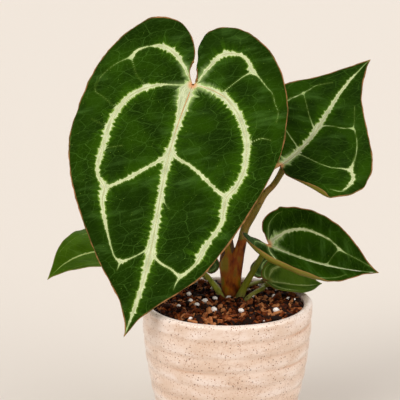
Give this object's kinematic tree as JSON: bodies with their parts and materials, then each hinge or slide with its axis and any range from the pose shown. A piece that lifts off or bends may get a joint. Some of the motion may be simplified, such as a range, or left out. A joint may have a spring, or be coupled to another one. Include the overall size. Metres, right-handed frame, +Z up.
{
  "type": "potted anthurium",
  "caption": "House plant with large heart-shaped, silver-veined velvet leaves on slim stalks, in a round ringed stoneware pot.",
  "frame": {"origin": "middle of the pot's foot, on the surface that it stands on", "axes": "+Z up the pot's axis, the plant's front faces -Y, its upper and right leaves reach to +X"},
  "size_m": [0.2327, 0.1295, 0.3018],
  "materials": {
    "stoneware": "satin speckled glaze",
    "potting_mix": "rough bark chips with white perlite",
    "trunk_skin": "satin",
    "stalk_skin": "satin",
    "velvet_leaf": "velvety, with silver veins",
    "young_leaf": "satin"
  },
  "bodies": {
    "root": {"pot": "stoneware", "soil": "potting_mix", "trunk": "trunk_skin", "stalk_front": "stalk_skin", "blade_front": "velvet_leaf", "stalk_upper": "stalk_skin", "blade_upper": "velvet_leaf", "stalk_right": "stalk_skin", "blade_right": "velvet_leaf", "stalk_small": "stalk_skin", "blade_small": "young_leaf", "stalk_left": "stalk_skin", "blade_left": "young_leaf", "stalk_back_left": "stalk_skin", "blade_back_left": "velvet_leaf", "stalk_back_right": "stalk_skin", "blade_back_right": "velvet_leaf"}
  },
  "joints": []
}
